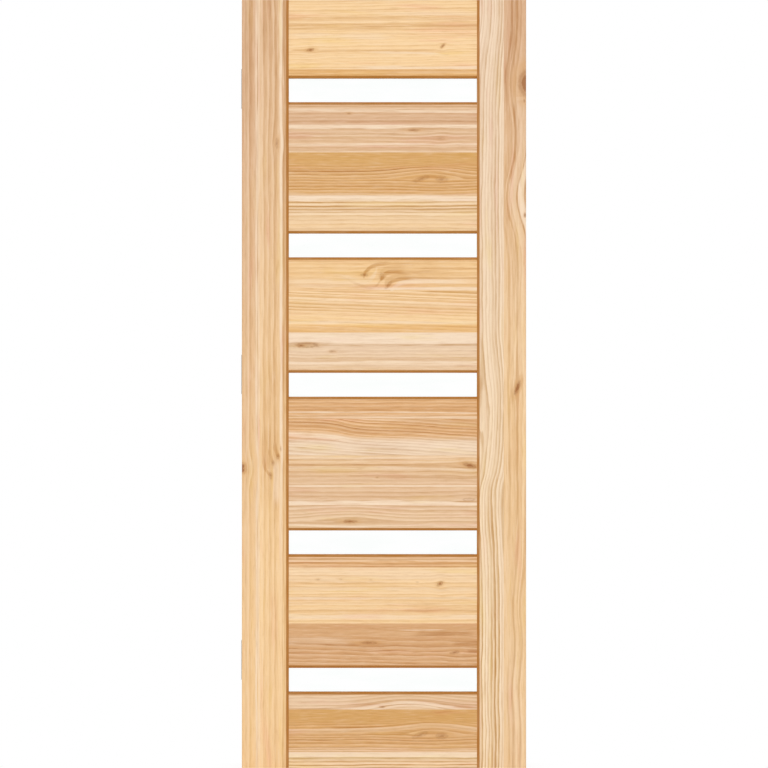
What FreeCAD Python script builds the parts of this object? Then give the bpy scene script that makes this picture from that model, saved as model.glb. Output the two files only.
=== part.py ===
# Exterior wood door: laminated stiles, glued-up rails, glass strips and butt hinges.
# Millimetres, +Z up, the front face towards -Y, and the origin in the middle of the leaf's bottom edge.
import FreeCAD
import Part

import os

# Leaf
PANEL_WIDTH = 490.0
GLASS_STRIP_HEIGHT = 62.0
STILE_THICKNESS = 44.0
RAIL_THICKNESS = 36.0
EDGE_ROUND = 3.0

# Boards that are glued edge to edge, stiles from left to right and rails from top to bottom
HINGE_STILE_OUTER_BOARD_WIDTH = 42.0
HINGE_STILE_INNER_BOARD_WIDTH = 80.0
LOCK_STILE_INNER_BOARD_WIDTH = 70.0
LOCK_STILE_OUTER_BOARD_WIDTH = 58.0
RAIL_1_BOARD_1_WIDTH = 181.0
RAIL_1_BOARD_2_WIDTH = 23.0
RAIL_2_BOARD_1_WIDTH = 59.0
RAIL_2_BOARD_2_WIDTH = 72.0
RAIL_2_BOARD_3_WIDTH = 112.0
RAIL_2_BOARD_4_WIDTH = 99.0
RAIL_3_BOARD_1_WIDTH = 88.0
RAIL_3_BOARD_2_WIDTH = 108.0
RAIL_3_BOARD_3_WIDTH = 105.0
RAIL_4_BOARD_1_WIDTH = 58.0
RAIL_4_BOARD_2_WIDTH = 95.0
RAIL_4_BOARD_3_WIDTH = 77.0
RAIL_4_BOARD_4_WIDTH = 52.0
RAIL_4_BOARD_5_WIDTH = 66.5
RAIL_5_BOARD_1_WIDTH = 34.0
RAIL_5_BOARD_2_WIDTH = 146.0
RAIL_5_BOARD_3_WIDTH = 116.0
RAIL_6_BOARD_1_WIDTH = 46.0
RAIL_6_BOARD_2_WIDTH = 111.0
RAIL_6_BOARD_3_WIDTH = 41.5

# Bevel along the stiles' inner edges and the rails' edges beside the glass
BEVEL_WIDTH = 7.0
RAIL_BEVEL_DEPTH = 4.0

# Groove that holds the rails' tongues and the glass
GROOVE_WIDTH = 14.0
GROOVE_DEPTH = 12.0
TONGUE_SIDE_GAP = 0.2
TONGUE_END_GAP = 0.5

# Dowels across each joint between a rail and a stile
DOWEL_DIAMETER = 10.0
DOWEL_LENGTH = 100.0
DOWEL_EDGE_DISTANCE = 52.0
DOWEL_END_BEVEL = 1.0
DOWEL_RADIAL_GAP = 0.1
DOWEL_END_GAP = 0.5

# Glass strips and the channel seals round their edges
GLASS_THICKNESS = 6.0
GLASS_ARRIS = 0.7
SEAL_WEB = 2.5
SEAL_END_GAP = 0.5
SEAL_SIDE_GAP = 0.1

# Butt hinges, let into the hinge stile's edge with the barrel behind the leaf
HINGE_HEIGHT = 102.0
HINGE_LEAF_WIDTH = 38.0
HINGE_PLATE_THICKNESS = 3.0
HINGE_FROM_TOP = 180.0
HINGE_FROM_BOTTOM = 230.0
KNUCKLE_COUNT = 5
KNUCKLE_NOTCH_GAP = 0.5
BARREL_GAP = 0.5
JAMB_GAP = 2.0
MORTISE_GAP = 0.2
PIN_DIAMETER = 6.0
PIN_RADIAL_GAP = 0.05
PIN_TIP_HEIGHT = 3.0
PIN_TIP_ROUND = 1.2
PIN_TIP_SETBACK = 0.5
WASHER_THICKNESS = 1.0
WASHER_END_GAP = 0.1
WASHER_SETBACK = 0.4

# Countersunk screws in the hinges
SCREW_LENGTH = 30.0
SCREW_DIAMETER = 4.5
SCREW_HEAD_DIAMETER = 8.4
SCREW_TIP_LENGTH = 5.0
SCREW_TIP_DIAMETER = 0.6
SCREW_HOLE_DIAMETER = 5.0
SCREW_HEAD_GAP = 0.1
SCREW_PILOT_GAP = 0.05
SCREW_PILOT_END_GAP = 0.5
SCREW_FROM_LEAF_EDGE = 8.0
DOOR_SCREW_FROM_LEAF_END = 14.0
FRAME_SCREW_FROM_LEAF_END = 24.0
SCREW_COLUMN_SPACING = 14.0
RECESS_LENGTH = 4.6
RECESS_WIDTH = 0.9
RECESS_DEPTH = 1.3

# What follows from the driving dimensions
RAILS = (
    (RAIL_1_BOARD_1_WIDTH, RAIL_1_BOARD_2_WIDTH),
    (RAIL_2_BOARD_1_WIDTH, RAIL_2_BOARD_2_WIDTH, RAIL_2_BOARD_3_WIDTH, RAIL_2_BOARD_4_WIDTH),
    (RAIL_3_BOARD_1_WIDTH, RAIL_3_BOARD_2_WIDTH, RAIL_3_BOARD_3_WIDTH),
    (
        RAIL_4_BOARD_1_WIDTH,
        RAIL_4_BOARD_2_WIDTH,
        RAIL_4_BOARD_3_WIDTH,
        RAIL_4_BOARD_4_WIDTH,
        RAIL_4_BOARD_5_WIDTH,
    ),
    (RAIL_5_BOARD_1_WIDTH, RAIL_5_BOARD_2_WIDTH, RAIL_5_BOARD_3_WIDTH),
    (RAIL_6_BOARD_1_WIDTH, RAIL_6_BOARD_2_WIDTH, RAIL_6_BOARD_3_WIDTH),
)
GLASS_COUNT = len(RAILS) - 1
HINGE_STILE_WIDTH = HINGE_STILE_OUTER_BOARD_WIDTH + HINGE_STILE_INNER_BOARD_WIDTH
LOCK_STILE_WIDTH = LOCK_STILE_INNER_BOARD_WIDTH + LOCK_STILE_OUTER_BOARD_WIDTH
LEAF_WIDTH = HINGE_STILE_WIDTH + PANEL_WIDTH + LOCK_STILE_WIDTH
LEAF_HEIGHT = sum(sum(boards) for boards in RAILS) + GLASS_COUNT * GLASS_STRIP_HEIGHT
LEFT_EDGE = -LEAF_WIDTH / 2
RIGHT_EDGE = LEAF_WIDTH / 2
PANEL_LEFT = LEFT_EDGE + HINGE_STILE_WIDTH
PANEL_RIGHT = RIGHT_EDGE - LOCK_STILE_WIDTH
STILE_FACE = STILE_THICKNESS / 2
RAIL_FACE = RAIL_THICKNESS / 2
GROOVE_FACE = GROOVE_WIDTH / 2
SEAL_BITE = GROOVE_DEPTH - SEAL_END_GAP
GLASS_BITE = SEAL_BITE - SEAL_WEB
KNUCKLE_RADIUS = PIN_DIAMETER / 2 + HINGE_PLATE_THICKNESS
PIN_X = LEFT_EDGE - JAMB_GAP + KNUCKLE_RADIUS
PIN_Y = STILE_FACE + BARREL_GAP + KNUCKLE_RADIUS
HINGE_BOTTOMS = {
    "top": LEAF_HEIGHT - HINGE_FROM_TOP - HINGE_HEIGHT,
    "middle": (LEAF_HEIGHT - HINGE_FROM_TOP + HINGE_FROM_BOTTOM - HINGE_HEIGHT) / 2,
    "bottom": HINGE_FROM_BOTTOM,
}
DOOR_PLATE_FRONT = PIN_X + KNUCKLE_RADIUS - HINGE_PLATE_THICKNESS
SAME_PLACE = 0.001
ALONG_X = FreeCAD.Vector(1, 0, 0)
ALONG_Z = FreeCAD.Vector(0, 0, 1)


# Shapes that more than one piece uses
def block(x_range, y_range, z_range):
    low = FreeCAD.Vector(min(x_range), min(y_range), min(z_range))
    high = FreeCAD.Vector(max(x_range), max(y_range), max(z_range))
    size = high - low
    return Part.makeBox(size.x, size.y, size.z, low)


def rod(radius, length, start, direction):
    return Part.makeCylinder(radius, length, start, direction)


def taper(first_radius, last_radius, length, start, direction):
    return Part.makeCone(first_radius, last_radius, length, start, direction)


def moulding(points, sweep):
    outline = Part.makePolygon([*points, points[0]])
    return Part.Face(outline).extrude(sweep)


def fused(shapes):
    return shapes[0].multiFuse(shapes[1:]).removeSplitter()


def save(name, shapes):
    whole = shapes[0] if len(shapes) == 1 else Part.makeCompound(shapes)
    whole.exportStep(os.path.join("parts", name + ".step"))
    print(name, len(whole.Solids), "solids", round(whole.Volume / 1000, 2), "cm3")


# Where each rail starts and ends, from the top of the leaf down
def rail_spans():
    spans = []
    top = LEAF_HEIGHT
    for boards in RAILS:
        bottom = top - sum(boards)
        spans.append((bottom, top))
        top = bottom - GLASS_STRIP_HEIGHT
    return spans


def glass_spans():
    spans = rail_spans()
    return [(spans[i + 1][1], spans[i][0]) for i in range(GLASS_COUNT)]


# Dowels and their holes share one axis, centred on the joint between rail and stile
def dowel_axes():
    return [
        (joint_x, bottom + DOWEL_EDGE_DISTANCE if low else top - DOWEL_EDGE_DISTANCE)
        for bottom, top in rail_spans()
        for joint_x in (PANEL_LEFT, PANEL_RIGHT)
        for low in (True, False)
    ]


def dowel(joint_x, z):
    radius = DOWEL_DIAMETER / 2
    tip_radius = radius - DOWEL_END_BEVEL
    start = FreeCAD.Vector(joint_x - DOWEL_LENGTH / 2, 0, z)
    body_start = start + ALONG_X * DOWEL_END_BEVEL
    body_length = DOWEL_LENGTH - 2 * DOWEL_END_BEVEL
    body_end = body_start + ALONG_X * body_length
    return fused([
        taper(tip_radius, radius, DOWEL_END_BEVEL, start, ALONG_X),
        rod(radius, body_length, body_start, ALONG_X),
        taper(radius, tip_radius, DOWEL_END_BEVEL, body_end, ALONG_X),
    ])


def dowel_hole(joint_x, z):
    length = DOWEL_LENGTH + 2 * DOWEL_END_GAP
    start = FreeCAD.Vector(joint_x - length / 2, 0, z)
    return rod(DOWEL_DIAMETER / 2 + DOWEL_RADIAL_GAP, length, start, ALONG_X)


# Stile, moulded whole and then parted into its boards
def stile(outer_x, inner_x):
    inward = 1 if inner_x > outer_x else -1
    bevel_x = inner_x - inward * BEVEL_WIDTH
    groove_x = inner_x - inward * GROOVE_DEPTH
    half = [
        (outer_x, STILE_FACE),
        (bevel_x, STILE_FACE),
        (inner_x, RAIL_FACE),
        (inner_x, GROOVE_FACE),
        (groove_x, GROOVE_FACE),
    ]
    outline = half + [(x, -y) for x, y in reversed(half)]
    body = moulding([FreeCAD.Vector(x, y, 0) for x, y in outline], ALONG_Z * LEAF_HEIGHT)
    outer_edges = [
        edge for edge in body.Edges
        if all(abs(v.X - outer_x) < SAME_PLACE for v in edge.Vertexes)
        and abs(edge.Vertexes[0].Z - edge.Vertexes[-1].Z) > LEAF_HEIGHT / 2
    ]
    return body.makeFillet(EDGE_ROUND, outer_edges)


def stile_boards(body, cuts, splits):
    cut = body.cut(Part.makeCompound(cuts))
    depth = (-STILE_THICKNESS, STILE_THICKNESS)
    height = (0, LEAF_HEIGHT)
    return {name: cut.common(block(span, depth, height)) for name, span in splits.items()}


# Rail, moulded whole with its tongues and then parted into its boards
def rail(bottom, top, glass_below, glass_above):
    def edge(z, upward, beside_glass):
        if not beside_glass:
            return [(RAIL_FACE, z)]
        return [
            (RAIL_FACE, z + upward * BEVEL_WIDTH),
            (RAIL_FACE - RAIL_BEVEL_DEPTH, z),
            (GROOVE_FACE, z),
            (GROOVE_FACE, z + upward * GROOVE_DEPTH),
        ]

    lower = edge(bottom, 1, glass_below)
    upper = edge(top, -1, glass_above)
    right = lower[::-1] + upper
    outline = right + [(-y, z) for y, z in reversed(right)]
    points = [FreeCAD.Vector(PANEL_LEFT, y, z) for y, z in outline]
    panel = moulding(points, ALONG_X * PANEL_WIDTH)

    reach = GROOVE_DEPTH - TONGUE_END_GAP
    tongue_face = GROOVE_FACE - TONGUE_SIDE_GAP
    tongue = block(
        (PANEL_LEFT - reach, PANEL_RIGHT + reach),
        (-tongue_face, tongue_face),
        (bottom + GROOVE_DEPTH * glass_below, top - GROOVE_DEPTH * glass_above),
    )
    return fused([panel, tongue])


def rail_boards(body, top, widths):
    boards = []
    for width in widths:
        length = (LEFT_EDGE, RIGHT_EDGE)
        depth = (-STILE_THICKNESS, STILE_THICKNESS)
        boards.append(body.common(block(length, depth, (top - width, top))))
        top -= width
    return boards


# Glass strip and the channel seal that grips its edges
def pane_block(bite, face, span):
    bottom, top = span
    return block((PANEL_LEFT - bite, PANEL_RIGHT + bite), (-face, face), (bottom - bite, top + bite))


def pane(span):
    body = pane_block(GLASS_BITE, GLASS_THICKNESS / 2, span)
    return body.makeChamfer(GLASS_ARRIS, body.Edges)


def seal(span):
    outside = pane_block(SEAL_BITE, GROOVE_FACE - SEAL_SIDE_GAP, span)
    window = pane_block(0, STILE_FACE, span)
    return outside.cut(window).cut(pane_block(GLASS_BITE, GLASS_THICKNESS / 2, span))


# Butt hinge: knuckles take turns on the two leaves, with a washer between each pair
def knuckle_spans(hinge_bottom):
    gap = WASHER_THICKNESS + 2 * WASHER_END_GAP
    length = (HINGE_HEIGHT - gap * (KNUCKLE_COUNT - 1)) / KNUCKLE_COUNT
    starts = [hinge_bottom + i * (length + gap) for i in range(KNUCKLE_COUNT)]
    return [(start, start + length) for start in starts]


def on_pin(z):
    return FreeCAD.Vector(PIN_X, PIN_Y, z)


# The rows of the two leaves are staggered, so that no screw head faces another
def screw_places(hinge_bottom, from_end):
    far_column = PIN_Y - HINGE_LEAF_WIDTH + SCREW_FROM_LEAF_EDGE
    low_row = hinge_bottom + from_end
    high_row = hinge_bottom + HINGE_HEIGHT - from_end
    return [
        (y, z)
        for y in (far_column, far_column + SCREW_COLUMN_SPACING)
        for z in (low_row, high_row)
    ]


def screw_hole(front_x, direction, y, z):
    radius = SCREW_HOLE_DIAMETER / 2
    mouth = SCREW_HEAD_DIAMETER / 2 + SCREW_HEAD_GAP
    start = FreeCAD.Vector(front_x, y, z)
    return fused([
        taper(mouth, radius, mouth - radius, start, direction),
        rod(radius, 2 * HINGE_PLATE_THICKNESS, start, direction),
    ])


def hinge_leaf(hinge_bottom, side, first_knuckle, screw_from_end):
    plate_x = (PIN_X + side * KNUCKLE_RADIUS, PIN_X + side * (KNUCKLE_RADIUS - HINGE_PLATE_THICKNESS))
    notch_y = PIN_Y - KNUCKLE_RADIUS - KNUCKLE_NOTCH_GAP
    height = (hinge_bottom, hinge_bottom + HINGE_HEIGHT)
    solids = [block(plate_x, (PIN_Y - HINGE_LEAF_WIDTH, notch_y), height)]
    for span in knuckle_spans(hinge_bottom)[first_knuckle::2]:
        solids.append(block(plate_x, (notch_y, PIN_Y), span))
        solids.append(rod(KNUCKLE_RADIUS, span[1] - span[0], on_pin(span[0]), ALONG_Z))
    bore = rod(PIN_DIAMETER / 2 + PIN_RADIAL_GAP, HINGE_HEIGHT, on_pin(hinge_bottom), ALONG_Z)
    places = screw_places(hinge_bottom, screw_from_end)
    holes = [screw_hole(plate_x[1], ALONG_X * side, y, z) for y, z in places]
    return fused(solids).cut(Part.makeCompound([bore, *holes]))


def hinge_pin(hinge_bottom):
    tip_radius = KNUCKLE_RADIUS - PIN_TIP_SETBACK

    def tip(z, direction):
        button = rod(tip_radius, PIN_TIP_HEIGHT, on_pin(z), direction)
        rim = [edge for edge in button.Edges if abs(edge.CenterOfMass.z - z) > PIN_TIP_HEIGHT * 0.9]
        return button.makeFillet(PIN_TIP_ROUND, rim)

    hinge_top = hinge_bottom + HINGE_HEIGHT
    shaft = rod(PIN_DIAMETER / 2, HINGE_HEIGHT, on_pin(hinge_bottom), ALONG_Z)
    return fused([shaft, tip(hinge_top, ALONG_Z), tip(hinge_bottom, ALONG_Z * -1)])


def washers(hinge_bottom):
    outer = KNUCKLE_RADIUS - WASHER_SETBACK
    inner = PIN_DIAMETER / 2 + PIN_RADIAL_GAP
    rings = []
    for span in knuckle_spans(hinge_bottom)[:-1]:
        start = on_pin(span[1] + WASHER_END_GAP)
        disc = rod(outer, WASHER_THICKNESS, start, ALONG_Z)
        rings.append(disc.cut(rod(inner, WASHER_THICKNESS, start, ALONG_Z)))
    return rings


def screw(y, z):
    head_radius = SCREW_HEAD_DIAMETER / 2
    radius = SCREW_DIAMETER / 2
    head_depth = head_radius - radius
    start = FreeCAD.Vector(DOOR_PLATE_FRONT, y, z)
    tip_start = start + ALONG_X * (SCREW_LENGTH - SCREW_TIP_LENGTH)
    body = fused([
        taper(head_radius, radius, head_depth, start, ALONG_X),
        rod(radius, SCREW_LENGTH - SCREW_TIP_LENGTH, start, ALONG_X),
        taper(radius, SCREW_TIP_DIAMETER / 2, SCREW_TIP_LENGTH, tip_start, ALONG_X),
    ])
    depth = (DOOR_PLATE_FRONT, DOOR_PLATE_FRONT + RECESS_DEPTH)
    long_side = RECESS_LENGTH / 2
    short_side = RECESS_WIDTH / 2
    upright = block(depth, (y - short_side, y + short_side), (z - long_side, z + long_side))
    level = block(depth, (y - long_side, y + long_side), (z - short_side, z + short_side))
    return body.cut(upright.fuse(level))


def screw_pilot(y, z):
    start = FreeCAD.Vector(DOOR_PLATE_FRONT, y, z)
    return rod(SCREW_DIAMETER / 2 + SCREW_PILOT_GAP, SCREW_LENGTH + SCREW_PILOT_END_GAP, start, ALONG_X)


# The mortise takes both leaves of the closed hinge and is open at the stile's edge and back
def hinge_mortise(hinge_bottom):
    return block(
        (LEFT_EDGE - JAMB_GAP, PIN_X + KNUCKLE_RADIUS),
        (PIN_Y - HINGE_LEAF_WIDTH - MORTISE_GAP, PIN_Y),
        (hinge_bottom - MORTISE_GAP, hinge_bottom + HINGE_HEIGHT + MORTISE_GAP),
    )


def door_screw_places(hinge_bottom):
    return screw_places(hinge_bottom, DOOR_SCREW_FROM_LEAF_END)


def main():
    os.makedirs("parts", exist_ok=True)
    dowel_holes = [dowel_hole(x, z) for x, z in dowel_axes()]
    hinge_cuts = []
    for hinge_bottom in HINGE_BOTTOMS.values():
        hinge_cuts.append(hinge_mortise(hinge_bottom))
        hinge_cuts += [screw_pilot(y, z) for y, z in door_screw_places(hinge_bottom)]

    hinge_split = LEFT_EDGE + HINGE_STILE_OUTER_BOARD_WIDTH
    lock_split = RIGHT_EDGE - LOCK_STILE_OUTER_BOARD_WIDTH
    boards = stile_boards(
        stile(LEFT_EDGE, PANEL_LEFT),
        dowel_holes + hinge_cuts,
        {
            "hinge_stile_outer_board": (LEFT_EDGE, hinge_split),
            "hinge_stile_inner_board": (hinge_split, PANEL_LEFT),
        },
    )
    boards |= stile_boards(
        stile(RIGHT_EDGE, PANEL_RIGHT),
        dowel_holes,
        {
            "lock_stile_inner_board": (PANEL_RIGHT, lock_split),
            "lock_stile_outer_board": (lock_split, RIGHT_EDGE),
        },
    )
    for number, (bottom, top) in enumerate(rail_spans(), 1):
        body = rail(bottom, top, glass_below=number < len(RAILS), glass_above=number > 1)
        drilled = body.cut(Part.makeCompound(dowel_holes))
        for row, board in enumerate(rail_boards(drilled, top, RAILS[number - 1]), 1):
            boards[f"rail_{number}_board_{row}"] = board
    for name, board in boards.items():
        save(name, [board])

    save("dowels", [dowel(x, z) for x, z in dowel_axes()])
    for number, span in enumerate(glass_spans(), 1):
        save(f"glass_strip_{number}", [pane(span)])
        save(f"glass_seal_{number}", [seal(span)])

    for place, hinge_bottom in HINGE_BOTTOMS.items():
        frame_leaf = hinge_leaf(hinge_bottom, -1, 0, FRAME_SCREW_FROM_LEAF_END)
        door_leaf = hinge_leaf(hinge_bottom, 1, 1, DOOR_SCREW_FROM_LEAF_END)
        save(f"{place}_hinge_frame_leaf", [frame_leaf])
        save(f"{place}_hinge_door_leaf", [door_leaf])
        save(f"{place}_hinge_pin", [hinge_pin(hinge_bottom)])
        save(f"{place}_hinge_washers", washers(hinge_bottom))
        save(f"{place}_hinge_screws", [screw(y, z) for y, z in door_screw_places(hinge_bottom)])
    print("leaf", LEAF_WIDTH, "x", STILE_THICKNESS, "x", LEAF_HEIGHT, "mm")
    print("hinge pin axis at", PIN_X, PIN_Y)


main()
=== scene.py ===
# %% [markdown]
# # A softwood outside door with glass strips
# The door is a leaf of glued-up boards: two upright stiles, six cross rails and five narrow strips of
# clear glass between them, hung on three butt hinges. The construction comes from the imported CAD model,
# which is loaded first and stays as it is. Everything below is about looks: light, and what the wood is
# like.

# %% Load the frame
import math

import bmesh
import bpy
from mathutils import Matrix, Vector


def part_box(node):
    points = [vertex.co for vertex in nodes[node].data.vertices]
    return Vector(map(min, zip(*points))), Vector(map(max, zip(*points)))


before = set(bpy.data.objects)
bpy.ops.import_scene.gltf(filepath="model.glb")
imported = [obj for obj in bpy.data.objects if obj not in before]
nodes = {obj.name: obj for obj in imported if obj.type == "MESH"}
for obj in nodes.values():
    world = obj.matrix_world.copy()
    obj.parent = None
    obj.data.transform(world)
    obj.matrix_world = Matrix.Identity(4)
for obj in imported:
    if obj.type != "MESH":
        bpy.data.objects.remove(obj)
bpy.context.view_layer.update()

# %% [markdown]
# ## The camera
# The photograph looks straight at the front, and the leaf fills the picture from top to bottom with no
# perspective to speak of. An orthographic camera would give that, but a long lens from far away does
# too, and it also works for the other views. The distance follows from the lens, so that the picture is
# a hair less high than the leaf where its front face is.

# %% Aim a long lens at the middle of the leaf
LENS_MM = 300.0
SEEN_SHARE = 0.9995
CLIP_DISTANCES = 10
stile_low, stile_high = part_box("lock_stile_outer_board")
leaf_height = stile_high.z - stile_low.z
front_y = stile_low.y

camera_data = bpy.data.cameras.new("front_camera")
camera_data.lens = LENS_MM
picture_share = camera_data.sensor_width / LENS_MM
distance = SEEN_SHARE * leaf_height / picture_share
camera = bpy.data.objects.new("front_camera", camera_data)
camera.location = (0, front_y - distance, stile_low.z + leaf_height / 2)
camera.rotation_euler = (math.radians(90), 0, 0)
camera_data.clip_end = CLIP_DISTANCES * distance
bpy.context.scene.collection.objects.link(camera)
bpy.context.scene.camera = camera
bpy.context.scene.view_settings.view_transform = "Standard"
print("camera", round(distance, 2), "m from the front face")

# %% [markdown]
# ## A helper for shader nodes
# Every material here is a small network of nodes. Written out in full, each node takes several lines of
# Python, so this helper adds a node, fills its sockets and hands back what comes out. A socket that is
# given another socket is linked, and one that is given a number or a colour simply holds it.

# %% Make the node helper
class NodeSheet:
    def __init__(self, tree):
        self.tree = tree

    def fill(self, sockets, values):
        for key, value in dict(values).items():
            if isinstance(value, bpy.types.NodeSocket):
                self.tree.links.new(value, sockets[key])
            else:
                sockets[key].default_value = value

    def add(self, kind, values=(), **settings):
        node = self.tree.nodes.new(kind)
        for name, value in settings.items():
            setattr(node, name, value)
        self.fill(node.inputs, values)
        return node.outputs

    def math(self, operation, *values):
        return self.add("ShaderNodeMath", enumerate(values), operation=operation)[0]

    def times(self, first, *others):
        for other in others:
            first = self.math("MULTIPLY", first, other)
        return first

    def plus(self, first, *others):
        for other in others:
            first = self.math("ADD", first, other)
        return first

    def vector(self, operation, *values):
        return self.add("ShaderNodeVectorMath", enumerate(values), operation=operation)[0]

    def length(self, value):
        return self.add("ShaderNodeVectorMath", {0: value}, operation="LENGTH")["Value"]

    def ramp(self, value, start, end, low=0.0, high=1.0):
        sockets = {"Value": value, "From Min": start, "From Max": end, "To Min": low, "To Max": high}
        return self.add("ShaderNodeMapRange", sockets, interpolation_type="SMOOTHSTEP")[0]

    def noise(self, position, along, across, seed, detail=2.0):
        stretched = self.vector("MULTIPLY", position, (1 / along, 1 / across, 1 / across))
        sockets = {"Vector": stretched, "W": seed, "Scale": 1.0, "Detail": detail}
        return self.add("ShaderNodeTexNoise", sockets, noise_dimensions="4D")[0]

    def blend(self, share, first, second, how="MIX"):
        sockets = {0: share, 6: first, 7: second}
        return self.add("ShaderNodeMix", sockets, data_type="RGBA", blend_type=how)[2]


print("node helper ready")

# %% [markdown]
# ## Groups and materials
# What several finishes share, such as growth rings, is a node group with named inputs and outputs, so
# that it is built once and placed where it is needed. The shader itself stays in each material. A part
# of the door keeps its shape, and only what is in its material slot changes.

# %% Make groups and materials
def new_group(name, inputs, outputs):
    tree = bpy.data.node_groups.new(name, "ShaderNodeTree")
    for label, kind in inputs.items():
        tree.interface.new_socket(label, in_out="INPUT", socket_type="NodeSocket" + kind)
    for label, kind in outputs.items():
        tree.interface.new_socket(label, in_out="OUTPUT", socket_type="NodeSocket" + kind)
    sheet = NodeSheet(tree)
    return sheet, sheet.add("NodeGroupInput"), tree.nodes.new("NodeGroupOutput").inputs


def place_group(sheet, name, values):
    node = sheet.tree.nodes.new("ShaderNodeGroup")
    node.node_tree = bpy.data.node_groups[name]
    sheet.fill(node.inputs, values)
    return node.outputs


def new_material(name):
    material = bpy.data.materials.new(name)
    material.use_nodes = True
    sheet = NodeSheet(material.node_tree)
    return material, sheet, material.node_tree.nodes["Principled BSDF"].inputs


def dress(node_name, material):
    slots = nodes[node_name].data.materials
    slots.clear()
    slots.append(material)


print("ready to dress", len(nodes), "nodes")

# %% [markdown]
# ## White surroundings that leave the shadow alone
# The door stands in front of plain white. If the world were simply made brighter, the wood would wash
# out. Instead, the world shows full white only to the rays that look at it, straight or by way of glass
# and metal, and lights the wood at a lower, plain level.

# %% Make the world
LIGHT_FROM_WORLD = 0.66
WHITE = (1, 1, 1, 1)

world = bpy.data.worlds.new("white_studio")
world.use_nodes = True
bpy.context.scene.world = world
sheet = NodeSheet(world.node_tree)


def seen_directly(sheet):
    path = sheet.add("ShaderNodeLightPath")
    seen = sheet.math("MAXIMUM", path["Is Camera Ray"], path["Is Glossy Ray"])
    return sheet.math("MAXIMUM", seen, path["Is Transmission Ray"])


level = sheet.ramp(seen_directly(sheet), 0.0, 1.0, LIGHT_FROM_WORLD, 1.0)
sheet.fill(world.node_tree.nodes["Background"].inputs, {"Color": WHITE, "Strength": level})
print("world light", LIGHT_FROM_WORLD)

# %% [markdown]
# ## The floor
# A pale floor catches the shadow of the door near its foot. Half of what is seen of it there is plain
# white, so that only the darkest part of the shadow shows. Further out it turns into the same white as
# the world, and no horizon shows. The turn is a matter of distance from the door and not of the camera.

# %% Lay the floor
FLOOR_HALF = 60.0
SHADOW_REACH = 0.1
WHITE_FROM = 0.5
NEAR_WHITE = 0.5
FLOOR_PALE = (0.97, 0.97, 0.97, 1)
FLOOR_ROUGHNESS = 0.9

floor_mesh = bpy.data.meshes.new("floor")
shape = bmesh.new()
bmesh.ops.create_grid(shape, x_segments=1, y_segments=1, size=FLOOR_HALF)
shape.to_mesh(floor_mesh)
shape.free()
floor = bpy.data.objects.new("floor", floor_mesh)
bpy.context.scene.collection.objects.link(floor)

floor_material, sheet, pale = new_material("pale_floor")
sheet.fill(pale, {
    "Base Color": FLOOR_PALE, "Roughness": FLOOR_ROUGHNESS, "Specular IOR Level": 0.0,
})
place = sheet.add("ShaderNodeTexCoord")["Object"]
far = sheet.ramp(sheet.length(place), SHADOW_REACH, WHITE_FROM, NEAR_WHITE, 1.0)
white = sheet.add("ShaderNodeEmission", {"Color": WHITE, "Strength": 1.0})[0]
share = sheet.times(far, seen_directly(sheet))
floor_nodes = floor_material.node_tree.nodes
lit = floor_nodes["Principled BSDF"].outputs[0]
mixed = sheet.add("ShaderNodeMixShader", {0: share, 1: lit, 2: white})[0]
sheet.fill(floor_nodes["Material Output"].inputs, {"Surface": mixed})
floor_mesh.materials.append(floor_material)
print("floor", 2 * FLOOR_HALF, "m wide")

# %% [markdown]
# ## Studio lamps
# Soft lamps give the bevels and the hinges a little shape. Lamps close by would light the top of a tall
# door more than its foot, so these are wide suns, which light it evenly all the way down. One stands in
# front on the left, a slightly weaker one on the right, both just above the middle, so that bevels on
# all sides look alike. Two more light the back, because the door is looked at from all sides.

# %% Hang the lamps
LAMP_SPREAD = math.radians(60)
LAMPS = {
    "front_left_lamp": ((-0.55, -0.75, 0.25), 0.68),
    "front_right_lamp": ((0.62, -0.75, 0.15), 0.63),
    "back_left_lamp": ((-0.55, 0.75, 0.40), 0.58),
    "back_right_lamp": ((0.62, 0.75, 0.30), 0.46),
}
for name, (direction, strength) in LAMPS.items():
    lamp = bpy.data.lights.new(name, "SUN")
    lamp.angle = LAMP_SPREAD
    lamp.energy = strength
    holder = bpy.data.objects.new(name, lamp)
    holder.rotation_euler = (-Vector(direction)).to_track_quat("-Z", "Y").to_euler()
    bpy.context.scene.collection.objects.link(holder)
print(len(LAMPS), "lamps")

# %% [markdown]
# ## Growth rings
# A softwood board shows its tree's years: each ring starts pale and turns to a thin dark line, then
# stops sharply. Painted stripes would be wrong on the edges and ends of a board, so the rings are solid
# here, shells about the middle of the trunk, called the pith, and the board cuts through them. Where
# the pith lies far to one side, the face shows even lines. Where it lies close behind the face, the
# lines spread out in the middle. Position is in millimetres: along the grain, through the thickness,
# and across the board. The first cell measures how far a point is from the pith, with the bends that a
# real trunk has.

# %% Measure the distance from the pith
BEND_LENGTH, BEND_WIDTH = 260.0, 60.0
RIPPLE_LENGTH, RIPPLE_WIDTH, RIPPLE_SHARE = 60.0, 8.0, 0.35

sheet, given, gives = new_group(
    "growth_rings",
    {
        "Position": "Vector", "Push": "Float", "Pith": "Vector", "Lean": "Vector",
        "Ring Width": "Float", "Wander": "Float", "Seed": "Float",
    },
    {"Latewood": "Float", "Earlywood": "Float", "Year": "Float"},
)


def centred(sheet, noise, size):
    return sheet.times(sheet.math("SUBTRACT", noise, 0.5), sheet.times(size, 2.0))


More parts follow.
